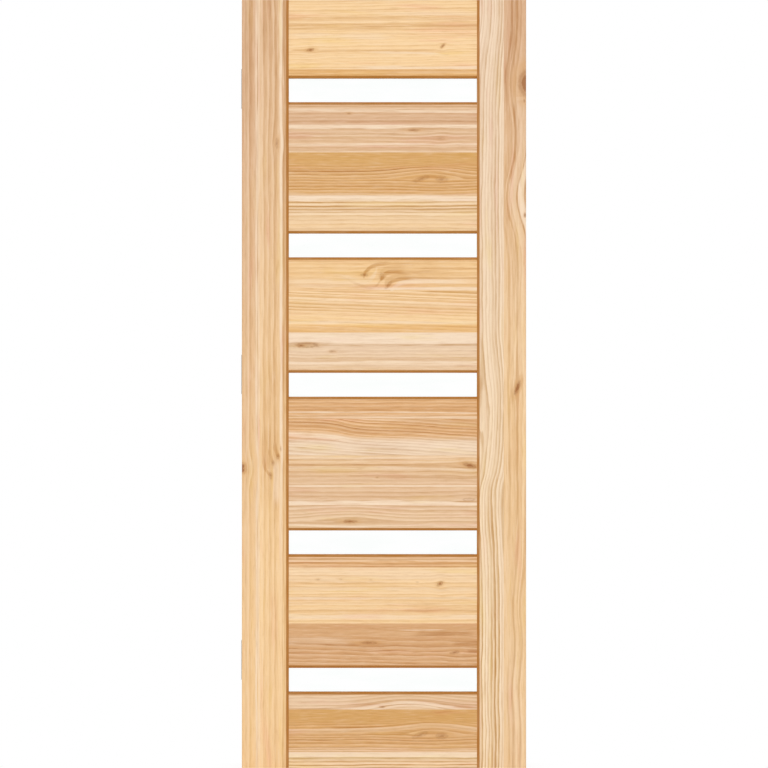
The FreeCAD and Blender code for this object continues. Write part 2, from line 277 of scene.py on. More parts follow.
push = sheet.add("ShaderNodeCombineXYZ", {"Z": given["Push"]})[0]
pushed = sheet.vector("SUBTRACT", given["Position"], push)
leaning = {"Vector": pushed, "Center": given["Pith"], "Rotation": given["Lean"]}
turned = sheet.add("ShaderNodeVectorRotate", leaning, rotation_type="EULER_XYZ")[0]
from_pith = sheet.vector("MULTIPLY", sheet.vector("SUBTRACT", turned, given["Pith"]), (0, 1, 1))
bend = centred(sheet, sheet.noise(pushed, BEND_LENGTH, BEND_WIDTH, given["Seed"]), given["Wander"])
ripple = sheet.noise(pushed, RIPPLE_LENGTH, RIPPLE_WIDTH, given["Seed"])
ripple = centred(sheet, ripple, sheet.times(given["Wander"], RIPPLE_SHARE))
radius = sheet.plus(bend, ripple, sheet.length(from_pith))
print("distance from the pith:", len(sheet.tree.nodes), "nodes")

# %% [markdown]
# ## Years and seasons
# The distance becomes years, some wider than others, because trees have good and bad spells. Evenly
# spaced lines would look ruled, so each year turns dark at its own moment and with its own strength. A
# line also fades here and there along the board, as the saw cuts it at a changing angle.

# %% Turn the distance into lines
YEARS_TOGETHER, UNEVEN_YEARS = 4.0, 1.6
LATEST_START, DARKEST, STOP = 0.55, 0.86, 0.9
PALE_UNTIL, PALE_FULL = 0.5, 0.05
FADE_LENGTH, FADE_WIDTH = 150.0, 6.0
FADE_FROM, FADE_TO = 0.3, 0.6
FAINTEST_YEAR, FAINTEST_SPOT = 0.55, 0.5

years = sheet.math("DIVIDE", radius, given["Ring Width"])
spell = sheet.plus(sheet.math("DIVIDE", years, YEARS_TOGETHER), given["Seed"])
uneven = sheet.add("ShaderNodeTexNoise", {"W": spell, "Scale": 1.0}, noise_dimensions="1D")[0]
years = sheet.plus(years, sheet.times(uneven, UNEVEN_YEARS))
season = sheet.math("FRACT", years)
year = sheet.plus(sheet.math("FLOOR", years), given["Seed"])
luck = sheet.add("ShaderNodeTexWhiteNoise", {"W": year}, noise_dimensions="1D")["Color"]
luck = sheet.add("ShaderNodeSeparateColor", {0: luck})
start = sheet.times(luck["Green"], LATEST_START)
fade = sheet.noise(pushed, FADE_LENGTH, FADE_WIDTH, given["Seed"])
line = sheet.times(
    sheet.ramp(season, start, DARKEST),
    sheet.ramp(season, 1.0, STOP),
    sheet.ramp(luck["Blue"], 0.0, 1.0, FAINTEST_YEAR, 1.0),
    sheet.ramp(fade, FADE_FROM, FADE_TO, FAINTEST_SPOT, 1.0),
)
pale = sheet.ramp(season, PALE_UNTIL, PALE_FULL)
sheet.fill(gives, {"Latewood": line, "Earlywood": pale, "Year": luck["Red"]})
print("growth rings:", len(sheet.tree.nodes), "nodes")

# %% [markdown]
# ## Knots
# A knot is where a branch left the trunk. It shows the dark heart of the branch with its rim, and amber
# wood about it. A clean oval would look printed, so noise makes its outline ragged. It is a solid oval
# and not a bar through the board, so that an edge shows half a knot. The group takes the masks that
# other knots have made so far and adds its own, so knots can be chained.

# %% Make the masks of a knot
ROUGH_LENGTH, ROUGH_WIDTH, USUAL_ROUGHNESS = 8.0, 3.0, 1.3
RIM_RADIUS, RIM_WIDTH, RIM_DARKNESS = 0.85, 0.25, 0.55
HEART_EDGE, HEART_FULL = 1.0, 0.1
AMBER_EDGE, AMBER_FULL = 2.6, 0.6

sheet, given, gives = new_group(
    "knot",
    {
        "Position": "Vector", "Push": "Float", "Heart": "Float", "Amber": "Float",
        "Along": "Float", "Across": "Float", "Depth": "Float",
        "Length": "Float", "Height": "Float", "Tilt": "Float",
        "Swell": "Float", "Sway": "Float", "Reach": "Float", "Below": "Float",
        "Core": "Float", "Darkness": "Float", "Raggedness": "Float",
    },
    {"Push": "Float", "Heart": "Float", "Amber": "Float"},
)


def bell(sheet, distance, size):
    share = sheet.math("DIVIDE", distance, size)
    return sheet.math("EXPONENT", sheet.times(share, share, -1.0))


spot = sheet.add("ShaderNodeSeparateXYZ", {0: given["Position"]})
along = sheet.math("SUBTRACT", spot["X"], given["Along"])
across = sheet.math("SUBTRACT", spot["Z"], given["Across"])
tilted = sheet.math("SUBTRACT", across, sheet.times(along, given["Tilt"]))
oval = sheet.add("ShaderNodeCombineXYZ", {
    "X": sheet.math("DIVIDE", along, given["Length"]),
    "Y": sheet.math("DIVIDE", tilted, given["Height"]),
    "Z": sheet.math("DIVIDE", given["Depth"], given["Height"]),
})[0]
rough = sheet.noise(given["Position"], ROUGH_LENGTH, ROUGH_WIDTH, given["Along"])
rough = sheet.times(sheet.math("SUBTRACT", rough, 0.5), given["Raggedness"])
radius = sheet.plus(sheet.length(oval), rough)


def filled_within(edge, full):
    return sheet.math("MINIMUM", sheet.times(sheet.ramp(radius, edge, full), given["Core"]), 1.0)


rim = bell(sheet, sheet.math("SUBTRACT", radius, RIM_RADIUS), RIM_WIDTH)
rim = sheet.times(rim, RIM_DARKNESS)
heart = sheet.math("MAXIMUM", filled_within(HEART_EDGE, HEART_FULL), rim)
heart = sheet.times(heart, given["Darkness"])
amber = sheet.times(filled_within(AMBER_EDGE, AMBER_FULL), given["Darkness"])
print("knot masks:", len(sheet.tree.nodes), "nodes")

# %% [markdown]
# ## How the lines pass a knot
# The rings have to swell round a branch, so the lines of the board open like water round a stone and
# close again further along. Some also sway, and run lower before the knot than after it. Both are a
# push across the grain that dies out with distance and depth. It adds to the push of the knots before
# it in the chain.

# %% Push the lines round a knot
SWELL_WIDTH, SWELL_DEPTH = 2.6, 25.0


def to_one_side(sheet, distance, size):
    return sheet.math("DIVIDE", distance, sheet.plus(sheet.math("ABSOLUTE", distance), size))


below = sheet.math("LESS_THAN", across, 0.0)
one_sided = sheet.add("ShaderNodeMix", {0: below, 2: 1.0, 3: given["Below"]}, data_type="FLOAT")[0]
swell = sheet.times(given["Swell"], to_one_side(sheet, across, given["Height"]), one_sided)
sway = sheet.times(given["Sway"], to_one_side(sheet, along, given["Length"]))
size = sheet.plus(given["Swell"], given["Height"], sheet.math("ABSOLUTE", given["Sway"]))
moved = sheet.times(
    sheet.plus(swell, sway),
    bell(sheet, along, given["Reach"]),
    bell(sheet, given["Depth"], SWELL_DEPTH),
    bell(sheet, across, sheet.times(size, SWELL_WIDTH)),
)
sheet.fill(gives, {
    "Push": sheet.plus(given["Push"], moved),
    "Heart": sheet.math("MAXIMUM", given["Heart"], heart),
    "Amber": sheet.math("MAXIMUM", given["Amber"], amber),
})
print("knot:", len(sheet.tree.nodes), "nodes")

# %% [markdown]
# ## Streaks
# Some strips of a board differ from the rest: cream sapwood from under the bark, or a resin-rich amber
# stripe. One group makes the mask of such a streak, which bends with the grain round the knots. A
# streak can also start at a knot and go one way only. Then it rises steeply at first and levels out
# further on, as lines do that sweep past a branch. Like the knots, streaks are chained. The first cell
# finds how far a point is from the streak's middle line.

# %% Find the middle line of a streak
STREAK_WAVER = 6.0

sheet, given, gives = new_group(
    "streak",
    {
        "Position": "Vector", "Push": "Float", "Mask": "Float", "Along": "Float", "Across": "Float",
        "Depth": "Float", "Length": "Float", "Width": "Float", "Slope": "Float", "Strength": "Float",
        "Way": "Float", "Rise": "Float", "Curl": "Float", "Seed": "Float",
    },
    {"Mask": "Float"},
)
spot = sheet.add("ShaderNodeSeparateXYZ", {0: given["Position"]})
along = sheet.math("SUBTRACT", spot["X"], given["Along"])
waver = sheet.noise(given["Position"], BEND_LENGTH, BEND_WIDTH, given["Seed"])
waver = sheet.times(sheet.math("SUBTRACT", waver, 0.5), STREAK_WAVER)
ahead = sheet.times(along, given["Way"])
passed = sheet.math("DIVIDE", sheet.math("MAXIMUM", ahead, 0.0), given["Curl"])
risen = sheet.math("SUBTRACT", 1.0, sheet.math("EXPONENT", sheet.times(passed, -1.0)))
middle = sheet.plus(
    given["Across"],
    sheet.times(along, given["Slope"]),
    sheet.times(given["Rise"], risen),
    sheet.plus(given["Push"], waver),
)
offset = sheet.math("ABSOLUTE", sheet.math("SUBTRACT", spot["Z"], middle))
print("middle line:", len(sheet.tree.nodes), "nodes")

# %% [markdown]
# ## The edges of a streak
# A streak isn't a painted band: it is wider here and weaker there. One noise, stretched along the
# grain, does both. The ends fade out, and the streak goes only some millimetres deep.

# %% Make the mask of a streak
BREAK_LENGTH, BREAK_WIDTH = 90.0, 7.0
THIN_FROM, WIDE_FROM, THINNEST, WIDEST = 0.3, 0.7, 0.7, 1.2
WEAK_FROM, FULL_FROM, WEAKEST = 0.3, 0.6, 0.6
EDGE_OUT, EDGE_IN = 0.7, 0.25
END_OUT, END_IN = 0.6, 0.3
SWEEP_START = 3.0
STREAK_DEPTH = 10.0

broken = sheet.noise(given["Position"], BREAK_LENGTH, BREAK_WIDTH, given["Across"])
width = sheet.times(given["Width"], sheet.ramp(broken, THIN_FROM, WIDE_FROM, THINNEST, WIDEST))
reach = sheet.math("DIVIDE", sheet.math("ABSOLUTE", along), given["Length"])
strip = sheet.times(
    sheet.ramp(sheet.math("DIVIDE", offset, width), EDGE_OUT, EDGE_IN),
    sheet.ramp(reach, END_OUT, END_IN),
    sheet.ramp(ahead, -SWEEP_START, 0.0),
    bell(sheet, given["Depth"], STREAK_DEPTH),
    sheet.times(given["Strength"], sheet.ramp(broken, WEAK_FROM, FULL_FROM, WEAKEST, 1.0)),
)
sheet.fill(gives, {"Mask": sheet.math("MAXIMUM", given["Mask"], strip)})
print("streak:", len(sheet.tree.nodes), "nodes")

# %% [markdown]
# ## Painted shade on the bevels, and end grain
# The bevels beside the glass and along the stiles get a darker orange-brown that is painted shade,
# strongest where the bevel lies deepest below the face, as on a shaded rounded edge. End grain soaks
# up the oil and is darker in its own colour. A bevel can be told from the way it faces, half across
# the board, and from how far it lies below the face. An end looks along the board.

# %% Build the group of painted bevel shade and end grain
FACE_TO_BEVEL, EDGE_TO_BEVEL = (0.2, 0.4), (0.85, 0.65)
SIDE_TO_END = (0.6, 0.9)
# Painted shade: the bevel darkens down to this depth below the face and is a little lighter at its rim
DARKEST_DEPTH, DARK_AT_RIM = 3.0, 0.9
PATCH_LENGTH, PATCH_WIDTH = 60.0, 6.0
PATCH_FROM, PATCH_TO, PATCH_PALEST = 0.2, 0.6, 0.8

sheet, given, gives = new_group(
    "painted_bevel_shade_and_end_grain",
    {"Normal": "Vector", "Position": "Vector", "Depth": "Float", "Seed": "Float"},
    {"Bevel": "Float", "End": "Float"},
)
facing = sheet.add("ShaderNodeSeparateXYZ", {0: sheet.vector("ABSOLUTE", given["Normal"])})
patchy = sheet.noise(given["Position"], PATCH_LENGTH, PATCH_WIDTH, given["Seed"])
# Mask of the painted shade on the bevels, strongest deepest below the face
painted_bevel_shade = sheet.times(
    sheet.ramp(facing["Z"], *FACE_TO_BEVEL),
    sheet.ramp(facing["Z"], *EDGE_TO_BEVEL),
    sheet.ramp(given["Depth"], 0.0, DARKEST_DEPTH, DARK_AT_RIM, 1.0),
    sheet.ramp(patchy, PATCH_FROM, PATCH_TO, PATCH_PALEST, 1.0),
)
sheet.fill(gives, {"Bevel": painted_bevel_shade, "End": sheet.ramp(facing["X"], *SIDE_TO_END)})
print("bevel shade and end grain:", len(sheet.tree.nodes), "nodes")

# %% [markdown]
# ## The ground colour of the wood
# The next three steps put the masks together in one group. The ground comes first: two tones that turn
# into each other down the board, years that are paler or browner as a whole, and the streaks. Broad
# clouds of a rosier or yellower tint keep a wide board from looking painted.

# %% Mix the ground colour
CREAM = (0.98, 0.78, 0.58, 1)
RESIN = (0.65, 0.45, 0.20, 1)
LATEWOOD = (0.66, 0.48, 0.27, 1)
ROSY = (0.97, 0.87, 0.90, 1)
YELLOWISH = (0.98, 0.97, 0.80, 1)
MIDDLING_YEAR = 0.5
PALE_YEARS, BROWN_YEARS, PALE_SEASON = 0.45, 0.3, 0.3
CLOUD_LENGTH, CLOUD_WIDTH, CLOUD_DETAIL = 240.0, 26.0, 3.0
ROSY_CLOUD, YELLOWISH_CLOUD = (0.45, 0.25), (0.55, 0.75)

sheet, given, gives = new_group(
    "oiled_softwood",
    {
        "Position": "Vector", "First Tone": "Color", "Second Tone": "Color", "Turn": "Float",
        "Latewood": "Float", "Earlywood": "Float", "Year": "Float", "Lines": "Float",
        "Cream": "Float", "Resin": "Float", "Heart": "Float", "Amber": "Float",
        "Bevel": "Float", "End": "Float", "Seed": "Float",
    },
    {"Color": "Color", "Roughness": "Float", "Height": "Float"},
)
tone = sheet.blend(given["Turn"], given["First Tone"], given["Second Tone"])
pale_years = sheet.ramp(given["Year"], MIDDLING_YEAR, 1.0, 0.0, PALE_YEARS)
tone = sheet.blend(sheet.times(pale_years, given["Lines"]), tone, CREAM)
brown_years = sheet.ramp(given["Year"], MIDDLING_YEAR, 0.0, 0.0, BROWN_YEARS)
tone = sheet.blend(sheet.times(brown_years, given["Lines"]), tone, LATEWOOD, "MULTIPLY")
tone = sheet.blend(sheet.times(given["Earlywood"], given["Lines"], PALE_SEASON), tone, CREAM)
tone = sheet.blend(given["Resin"], tone, RESIN, "MULTIPLY")
tone = sheet.blend(given["Cream"], tone, CREAM)
cloud = sheet.noise(given["Position"], CLOUD_LENGTH, CLOUD_WIDTH, given["Seed"], CLOUD_DETAIL)
tone = sheet.blend(sheet.ramp(cloud, *ROSY_CLOUD), tone, ROSY, "MULTIPLY")
tone = sheet.blend(sheet.ramp(cloud, *YELLOWISH_CLOUD), tone, YELLOWISH, "MULTIPLY")
print("ground colour:", len(sheet.tree.nodes), "nodes")

# %% [markdown]
# ## Lines and fibres
# Over the ground come the latewood lines, which are weaker in cream sapwood, and then three finer
# marks: short dashes that are darker or paler, fibres less than a millimetre wide, and tiny dark resin
# canals. One noise for all of them would make them the same size, so each has its own, stretched along
# the grain.

# %% Draw the lines and fibres
LINE_IN_CREAM = 0.2
DASH_LENGTH, DASH_WIDTH, DASH_DETAIL = 45.0, 2.6, 2.0
FIBRE_LENGTH, FIBRE_WIDTH, FIBRE_DETAIL = 55.0, 0.9, 5.0
CANAL_LENGTH, CANAL_WIDTH, CANAL_DETAIL = 9.0, 0.35, 1.0
DARK_DASH = (0.5, 0.75, 0.0, 0.28)
PALE_DASH = (0.5, 0.25, 0.0, 0.25)
DARK_FIBRE = (0.35, 0.75, 0.0, 0.16)
DARK_CANAL = (0.62, 0.75, 0.0, 0.4)

weaker = sheet.ramp(given["Cream"], 0.0, 1.0, 1.0, LINE_IN_CREAM)
line = sheet.times(given["Latewood"], given["Lines"], weaker)
tone = sheet.blend(line, tone, LATEWOOD, "MULTIPLY")
dash = sheet.noise(given["Position"], DASH_LENGTH, DASH_WIDTH, given["Seed"], DASH_DETAIL)
tone = sheet.blend(sheet.ramp(dash, *DARK_DASH), tone, LATEWOOD, "MULTIPLY")
tone = sheet.blend(sheet.ramp(dash, *PALE_DASH), tone, CREAM)
fibre = sheet.noise(given["Position"], FIBRE_LENGTH, FIBRE_WIDTH, given["Seed"], FIBRE_DETAIL)
tone = sheet.blend(sheet.ramp(fibre, *DARK_FIBRE), tone, LATEWOOD, "MULTIPLY")
canal = sheet.noise(given["Position"], CANAL_LENGTH, CANAL_WIDTH, given["Seed"], CANAL_DETAIL)
tone = sheet.blend(sheet.ramp(canal, *DARK_CANAL), tone, LATEWOOD, "MULTIPLY")
print("with lines and fibres:", len(sheet.tree.nodes), "nodes")

# %% [markdown]
# ## Knots, painted bevel shade, end grain and the surface
# Last come the amber wood and the hearts of the knots, the painted shade on the bevels, and the darker
# ends. The group also gives a roughness and a height, since latewood is harder, smoother and stands a
# hair proud after sanding.

# %% Finish the wood colour group
AMBER_WOOD = (0.66, 0.34, 0.11, 1)
KNOT_HEART = (0.31, 0.095, 0.014, 1)
# Painted shade: this orange-brown laid over the bevels stands for their shading
PAINTED_BEVEL_SHADE = (0.45, 0.173, 0.022, 1)
END_SHADE = (0.62, 0.48, 0.34, 1)
AMBER_SHARE, HEART_SHARE, FIBRE_SHARE = 0.4, 0.8, 0.6
SANDED, SMOOTHER_LINES, ROUGHER_ENDS = 0.62, 0.14, 0.15

tone = sheet.blend(sheet.times(given["Amber"], AMBER_SHARE), tone, AMBER_WOOD)
tone = sheet.blend(sheet.times(given["Heart"], HEART_SHARE), tone, KNOT_HEART)
# Painted shade on the bevels
tone = sheet.blend(given["Bevel"], tone, PAINTED_BEVEL_SHADE)
tone = sheet.blend(given["End"], tone, END_SHADE, "MULTIPLY")
grain = sheet.plus(line, sheet.times(fibre, FIBRE_SHARE))
rough = sheet.math("SUBTRACT", SANDED, sheet.times(grain, SMOOTHER_LINES))
rough = sheet.plus(rough, sheet.times(given["End"], ROUGHER_ENDS))
sheet.fill(gives, {"Color": tone, "Roughness": rough, "Height": grain})
print("oiled softwood:", len(sheet.tree.nodes), "nodes")

# %% [markdown]
# ## Recipes for knots and streaks
# No two boards of the door come from the same place in a tree, so each gets its own knots and streaks.
# Their places are millimetres in the door's own frame: x from its middle line and z from the floor.
# These functions turn a place and some sizes into what the groups above ask for. A sweep is a streak
# that starts at its place and goes one way.

# %% Write the functions for knots and streaks
WHOLE = 9000.0
USUAL_SWELL, USUAL_REACH = 1.3, 2.4


def knot(x, z, length, height, swell=None, reach=None, below=1.0, dark=1.0, tilt=0.0, sway=0.0,
         core=1.0, ragged=USUAL_ROUGHNESS):
    swell = USUAL_SWELL * height if swell is None else swell
    reach = USUAL_REACH * length if reach is None else reach
    return (x, z), {
        "Length": length, "Height": height, "Tilt": tilt, "Swell": swell, "Sway": sway,
        "Reach": reach, "Below": below, "Darkness": dark, "Core": core, "Raggedness": ragged,
    }


def streak(x, z, width, strength=1.0, length=WHOLE, slope=0.0, way=0.0, rise=0.0, curl=1.0):
    return (x, z), {
        "Width": width, "Strength": strength, "Length": length, "Slope": slope,
        "Way": way, "Rise": rise, "Curl": curl,
    }


def sweep(x, z, width, strength, length, rise, curl, way=1.0, slope=0.0):
    return streak(x, z, width, strength, length, slope, way, rise, curl)


print("a knot has", len(knot(0, 0, 1, 1)[1]), "values, a streak", len(streak(0, 0, 1)[1]))

# %% [markdown]
# ## Along the grain and across it
# The groups measure a board along its grain, through its thickness and across. The grain of a rail runs
# along x. A stile's runs up, so its position is turned a quarter about the Y axis, which makes the
# height the first coordinate and minus x the last. Two more measures come from this: the depth below
# the face, and how far down the board a point is, from 0 at its top to 1 at its foot.

# %% Measure a board along its grain
MM = 1000.0


def measures(sheet, low, high, upright):
    quarter = math.radians(90) if upright else 0.0
    places = sheet.add("ShaderNodeTexCoord")
    in_mm = {"Vector": places["Object"], "Scale": (MM, MM, MM), "Rotation": (0, quarter, 0)}
    position = sheet.add("ShaderNodeMapping", in_mm)[0]
    facing = {"Vector": places["Normal"], "Rotation": (0, quarter, 0)}
    normal = sheet.add("ShaderNodeMapping", facing, vector_type="NORMAL")[0]
    axes = sheet.add("ShaderNodeSeparateXYZ", {0: position})
    depth = sheet.math("SUBTRACT", high.y * MM, sheet.math("ABSOLUTE", axes["Y"]))
    downward = sheet.math("SUBTRACT", high.z * MM, axes["X" if upright else "Z"])
    downward = sheet.math("DIVIDE", downward, (high.z - low.z) * MM)
    return position, normal, depth, downward


print(sum("stile" in name for name in nodes), "boards are upright")

# %% [markdown]
# ## One material per board
# One function makes a board's material. It is told the seed of its noise, its two tones, how strong its
# lines are at the top and at the bottom, how wide a ring is, and where the pith lies: behind the middle
# of the thickness, and across from the middle of the board. How far lines wander and lean, where down
# the board the tones turn and the lines fade, and whether it has bevels can be added.

# %% Write the board function
BUMP_DEPTH, BUMP_STRENGTH = 0.0004, 0.5
OIL_GLOSS = 0.3


def board(node_name, seed, tones, lines, ring, pith, wander=4.0, lean=0.0, turn=(0.0, 1.0),
          fade=(0.0, 1.0), knots=(), cream=(), resin=(), bevelled=True):
    upright = "stile" in node_name
    material, sheet, wood = new_material(node_name + "_wood")
    low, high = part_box(node_name)
    position, normal, depth, downward = measures(sheet, low, high, upright)

    def in_grain(x, z):
        along, across = (z, -x) if upright else (x, z)
        return {"Position": position, "Depth": depth, "Along": along, "Across": across}

    made = {"Push": 0.0, "Heart": 0.0, "Amber": 0.0}
    for spot, values in knots:
        so_far = {name: made[name] for name in ("Push", "Heart", "Amber")}
        made = place_group(sheet, "knot", {**so_far, **in_grain(*spot), **values})
    masks = {}
    for name, streaks in (("Cream", cream), ("Resin", resin)):
        masks[name] = 0.0
        for spot, values in streaks:
            masks[name] = place_group(sheet, "streak", {
                "Push": made["Push"], "Mask": masks[name], "Seed": seed, **in_grain(*spot), **values,
            })["Mask"]

    middle = in_grain(*((low + high) * MM / 2).xz)
    rings = place_group(sheet, "growth_rings", {
        "Position": position, "Push": made["Push"], "Ring Width": ring, "Wander": wander, "Seed": seed,
        "Pith": (middle["Along"], pith[0], middle["Across"] + pith[1]),
        "Lean": (0, math.radians(lean), 0),
    })
    edges = {"Normal": normal, "Position": position, "Depth": depth, "Seed": seed}
    # The bevel mask from this group is painted shade; the end mask is the darker end grain
    bevel_shade_and_ends = place_group(sheet, "painted_bevel_shade_and_end_grain", edges)
    look = place_group(sheet, "oiled_softwood", {
        "Position": position, "First Tone": tones[0], "Second Tone": tones[1],
        "Turn": sheet.ramp(downward, *turn), "Lines": sheet.ramp(downward, *fade, *lines),
        "Latewood": rings["Latewood"], "Earlywood": rings["Earlywood"], "Year": rings["Year"],
        "Cream": masks["Cream"], "Resin": masks["Resin"],
        "Heart": made["Heart"], "Amber": made["Amber"],
        "Bevel": bevel_shade_and_ends["Bevel"] if bevelled else 0.0, "End": bevel_shade_and_ends["End"], "Seed": seed,
    })
    bump = {"Height": look["Height"], "Distance": BUMP_DEPTH, "Strength": BUMP_STRENGTH}
    sheet.fill(wood, {
        "Base Color": look["Color"], "Roughness": look["Roughness"],
        "Specular IOR Level": OIL_GLOSS, "Normal": sheet.add("ShaderNodeBump", bump)[0],
    })
    dress(node_name, material)
    print(node_name, len(knots), "knots,", len(cream), "cream and", len(resin), "resin streaks")


print(sum("board" in name for name in nodes), "boards to dress")

# %% [markdown]
# ## Wood tones
# The boards are of one kind of wood, but heartwood, sapwood and age give them tones from pale straw to
# brown. A short palette keeps them related. The tones are written as screen values, since a colour on a
# screen is what one compares with, and turned into the linear values that shaders use.

# %% Mix the palette
def screen_colour(red, green, blue):
    # The curve is the usual one of screens
    def linear(value):
        share = value / 255
        return share / 12.92 if share <= 0.04045 else ((share + 0.055) / 1.055) ** 2.4

    return (linear(red), linear(green), linear(blue), 1)


BRIGHT_HONEY = screen_colour(254, 217, 165)
HONEY = screen_colour(249, 209, 154)
AMBER = screen_colour(244, 197, 133)
DEEP_AMBER = screen_colour(228, 178, 114)
OLD_AMBER = screen_colour(221, 171, 104)
STRAW = screen_colour(251, 220, 177)
GOLDEN_ROSE = screen_colour(240, 201, 154)
ROSE = screen_colour(236, 198, 158)
PALE_ROSE = screen_colour(241, 207, 168)
DUSK_ROSE = screen_colour(223, 180, 141)
BROWN_ROSE = screen_colour(241, 195, 143)
BROWN = screen_colour(225, 177, 127)
PINK = screen_colour(245, 219, 191)
PALE_PEACH = screen_colour(255, 230, 191)
PALE_HONEY = screen_colour(247, 211, 163)
CREAMY = screen_colour(255, 235, 194)
print("greens from", round(OLD_AMBER[1], 2), "to", round(CREAMY[1], 2))

# %% [markdown]
# ## The top rail
# The widest board of the door, bright and nearly plain, with two small knots, sits over a thin amber
# one. The lines are faint and close to straight, so the pith is put far below the board.

# %% Dress the top rail
board("rail_1_board_1", 1.0, (BRIGHT_HONEY, BRIGHT_HONEY), (0.35, 0.25), 7.5, (0, -420), lean=1.0,
      knots=[knot(-191, 1870, 9, 4, tilt=0.15), knot(153, 1880, 5, 4, tilt=0.6)],
      cream=[streak(120, 1964, 9, 0.35, 300), streak(-110, 1905, 16, 0.35, 260),
             streak(60, 1862, 6, 0.5, 200, -0.03), streak(120, 1823, 9, 0.6, 420)],
      resin=[streak(0, 1951, 13, 0.25), streak(40, 1934, 11, 0.4), streak(60, 1924, 5, 0.3),
             streak(80, 1912, 4, 0.25), streak(-212, 1869, 4, 0.5, 60), streak(-30, 1868, 7, 0.3, 420)])
board("rail_1_board_2", 2.0, (AMBER, AMBER), (0.4, 0.35), 9.0, (40, -160),
      cream=[streak(150, 1812, 6, 0.2, 300)],
      resin=[streak(-60, 1814, 12, 0.26), streak(0, 1803, 8, 0.15)])

# %% [markdown]
# ## The second rail
# Two rosy boards lie over an amber one, which shows the trunk cut off centre: plain above, lines below
# that swell over a pair of knots. The lowest board has a cream edge with strong lines under it.

# %% Dress the second rail
board("rail_2_board_1", 3.0, (ROSE, DUSK_ROSE), (0.5, 0.5), 10.0, (0, -300),
      knots=[knot(-91, 1704, 5, 2, dark=0.6)], cream=[streak(30, 1711, 7, 0.7, 700, -0.01)],
      resin=[streak(0, 1722, 4, 0.35), streak(0, 1686, 8, 0.1)])
board("rail_2_board_2", 4.0, (ROSE, ROSE), (0.6, 0.6), 9.5, (0, -300),
      knots=[knot(77, 1661, 15, 3, dark=0.8), knot(148, 1640, 10, 4, dark=0.3)],
      cream=[streak(-60, 1670, 13, 0.9), streak(0, 1624, 6, 0.75), streak(0, 1604, 5, 0.7)],
      resin=[streak(0, 1649, 6, 0.25), streak(0, 1638, 4, 0.25), streak(0, 1610, 5, 0.25)])
board("rail_2_board_3", 5.0, (OLD_AMBER, DEEP_AMBER), (0.05, 0.75), 7.2, (42, 160), wander=5.0,
      turn=(0.2, 0.4), fade=(0.2, 0.45),
      knots=[knot(97, 1534, 20, 6, 13, 85, 0.3, 0.55, 0.3), knot(150, 1533, 16, 8, 12, 75, 0.3, 0.55)],
      cream=[streak(0, 1547, 5, 0.12), streak(0, 1494, 9, 0.35)],
      resin=[streak(-120, 1554, 5, 0.5, 420)])
board("rail_2_board_4", 6.0, (STRAW, PALE_HONEY), (1.15, 0.4), 7.0, (42, -62), turn=(0.45, 0.8),
      fade=(0.38, 0.55), cream=[streak(0, 1484, 17, 1.0)])

# %% [markdown]
# ## The third rail
# Its top board was cut where branches grew, so dark lines sweep up out of three small knots and run on
# to the right between amber bands, with a pale bowl under the first. Rings alone can't turn so sharply,
# so each of these lines is a sweep. The middle board has lines above and an orange strip along its
# foot, and the lowest one is nearly cream with an eye-shaped knot at the left.

# %% Dress the third rail
board("rail_3_board_1", 7.0, (HONEY, HONEY), (0.25, 0.3), 13.0, (30, -160), wander=3.0,
      knots=[knot(-51, 1284, 9, 4, 3, 25, dark=0.7), knot(-6, 1279, 6, 9, 2, 25, dark=0.45, core=0.7),
             knot(11, 1258, 8, 7, 2, 25, dark=0.5, tilt=0.8, core=0.7)],
      cream=[streak(150, 1248, 8, 0.75, 420), sweep(18, 1244, 13, 0.6, 420, 24, 22),
             streak(-150, 1262, 22, 0.35, 240), sweep(-20, 1294, 16, 0.38, 210, -42, 15, -1.0, -0.3)],
      resin=[streak(0, 1321, 5, 0.4), sweep(-52, 1283, 13, 0.75, 150, 31, 17),
             sweep(-52, 1283, 7, 0.55, 300, 31, 17),
             sweep(-8, 1274, 15, 0.85, 150, 19, 14), sweep(-8, 1274, 8, 0.6, 320, 19, 14),
             sweep(8, 1254, 13, 0.8, 160, 22, 18), sweep(8, 1254, 6, 0.6, 320, 22, 18),
             streak(150, 1276, 3, 0.5, 260), streak(170, 1300, 3, 0.5, 200),
             sweep(-14, 1288, 26, 0.16, 420, 22, 20), sweep(2, 1266, 15, 0.18, 420, 18, 18),
             sweep(-10, 1284, 20, 0.32, 150, 20, 16), sweep(4, 1264, 14, 0.36, 150, 18, 16),
             sweep(-7, 1277, 8, 0.36, 200, -46, 14, -1.0, -0.45)])
board("rail_3_board_2", 8.0, (BRIGHT_HONEY, AMBER), (0.9, 0.35), 9.0, (0, 400), lean=-2.0,
      turn=(0.79, 0.84), fade=(0.3, 0.6), cream=[streak(0, 1161, 7, 0.5)],
      resin=[streak(0, 1142, 16, 0.12), streak(0, 1192, 34, 0.12)])
board("rail_3_board_3", 9.0, (PINK, PALE_ROSE), (0.45, 0.5), 12.0, (0, -300), wander=6.0,
      knots=[knot(-200, 1101, 28, 6, 8, 70, core=0.2), knot(-216, 1100, 9, 3, 0, 20),
             knot(-135, 1085, 8, 3, dark=0.6)],
      cream=[streak(0, 1120, 31, 1.0), streak(0, 1132, 9, 0.9), streak(0, 1056, 7, 0.8),
             streak(0, 1048, 7, 0.4)],
      resin=[streak(60, 1102, 6, 0.6, 760), streak(0, 1095, 12, 0.12), streak(0, 1062, 6, 0.25),
             streak(0, 1040, 20, 0.15)])

# %% [markdown]
# ## The fourth rail
# The middle of the door has five narrow boards with strong lines, and a reddish knot near the lock
# side. In the second board the lines run slantwise, because the trunk leaned as it was sawn, and bend
# once where no branch shows. A knot with no darkness makes such a bend.

